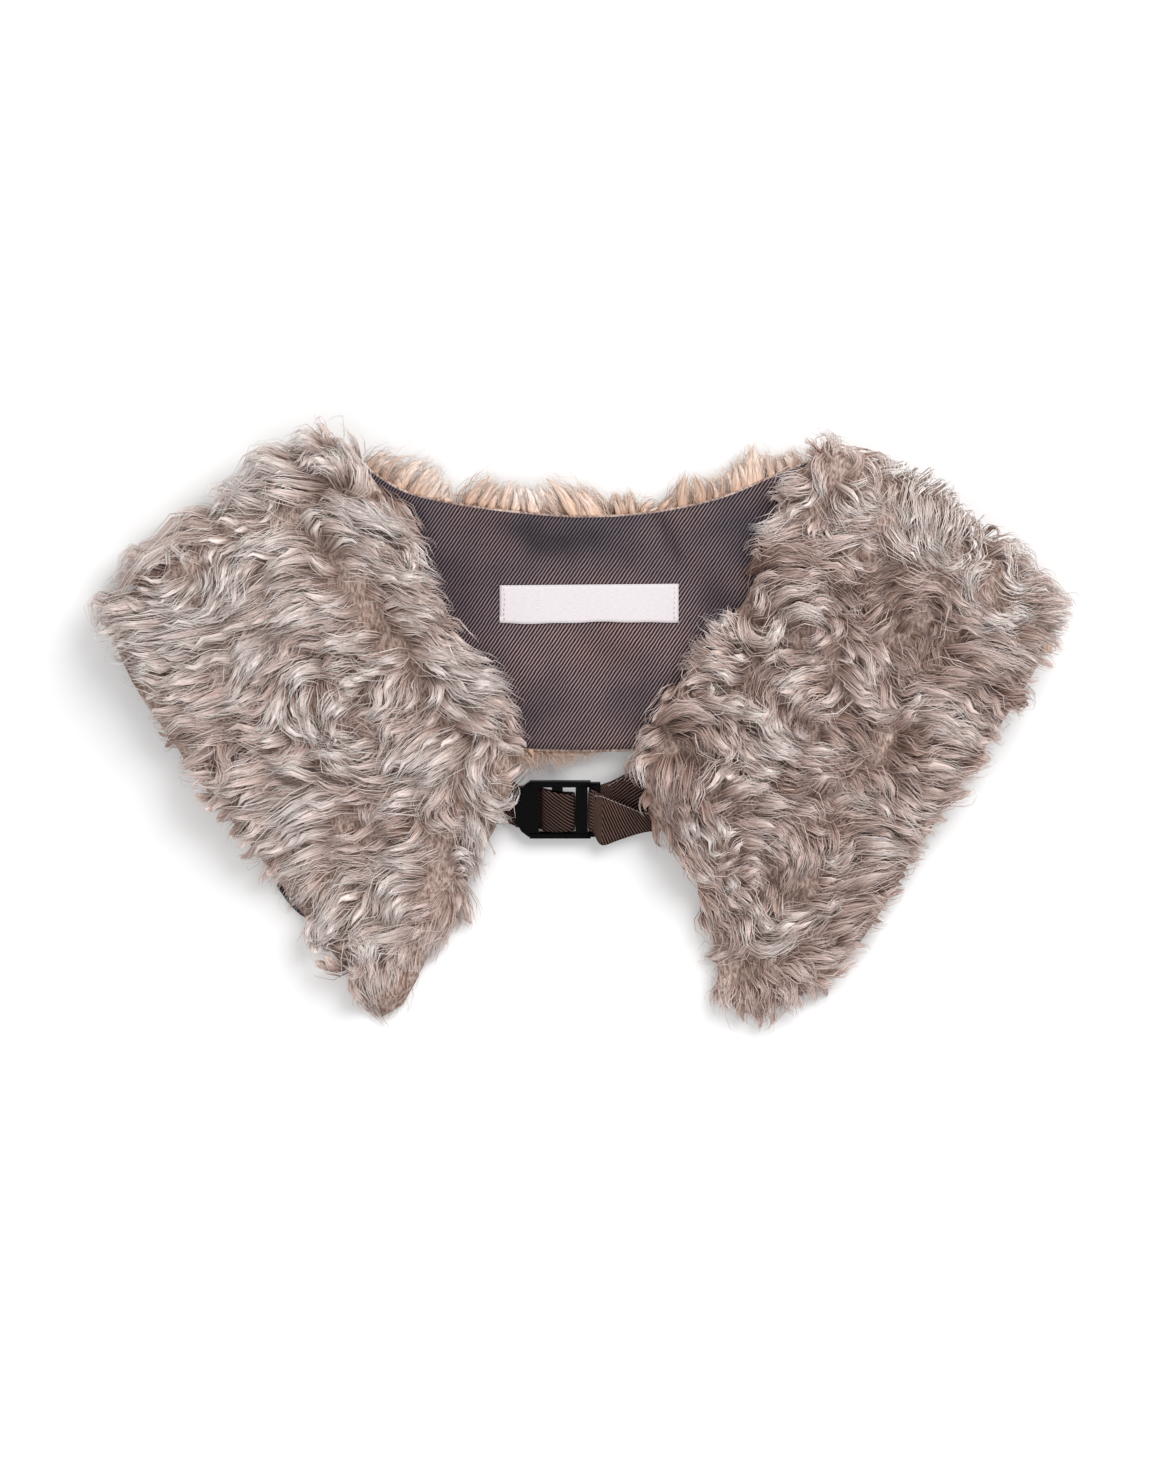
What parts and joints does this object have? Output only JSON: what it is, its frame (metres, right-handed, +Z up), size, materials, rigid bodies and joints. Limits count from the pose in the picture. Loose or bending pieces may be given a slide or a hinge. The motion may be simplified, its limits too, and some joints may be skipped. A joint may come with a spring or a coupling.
{
  "type": "detachable fur collar",
  "caption": "Detachable curly-pile fur collar with twill lining and buckled neck strap, laid flat, lining up, with its fronts folded over the back.",
  "frame": {"origin": "on the surface the collar lies on, under the middle of its bounding box", "axes": "+X along the collar's width, from its left front to its right front; +Y towards the back panel's neck edge; +Z up from the surface"},
  "size_m": [0.4224, 0.2572, 0.0395],
  "materials": {
    "pile": "long curly mohair pile, soft sheen",
    "lining_twill": "fine diagonal twill, faint sheen",
    "label_satin": "woven satin",
    "strap_twill": "diagonal twill, matt",
    "buckle_plastic": "smooth moulded gloss"
  },
  "bodies": {
    "root": {"fur_collar": "pile", "lining": "lining_twill", "label": "label_satin", "strap_left": "strap_twill", "strap_right": "strap_twill", "ladder_lock": "buckle_plastic"}
  },
  "joints": []
}
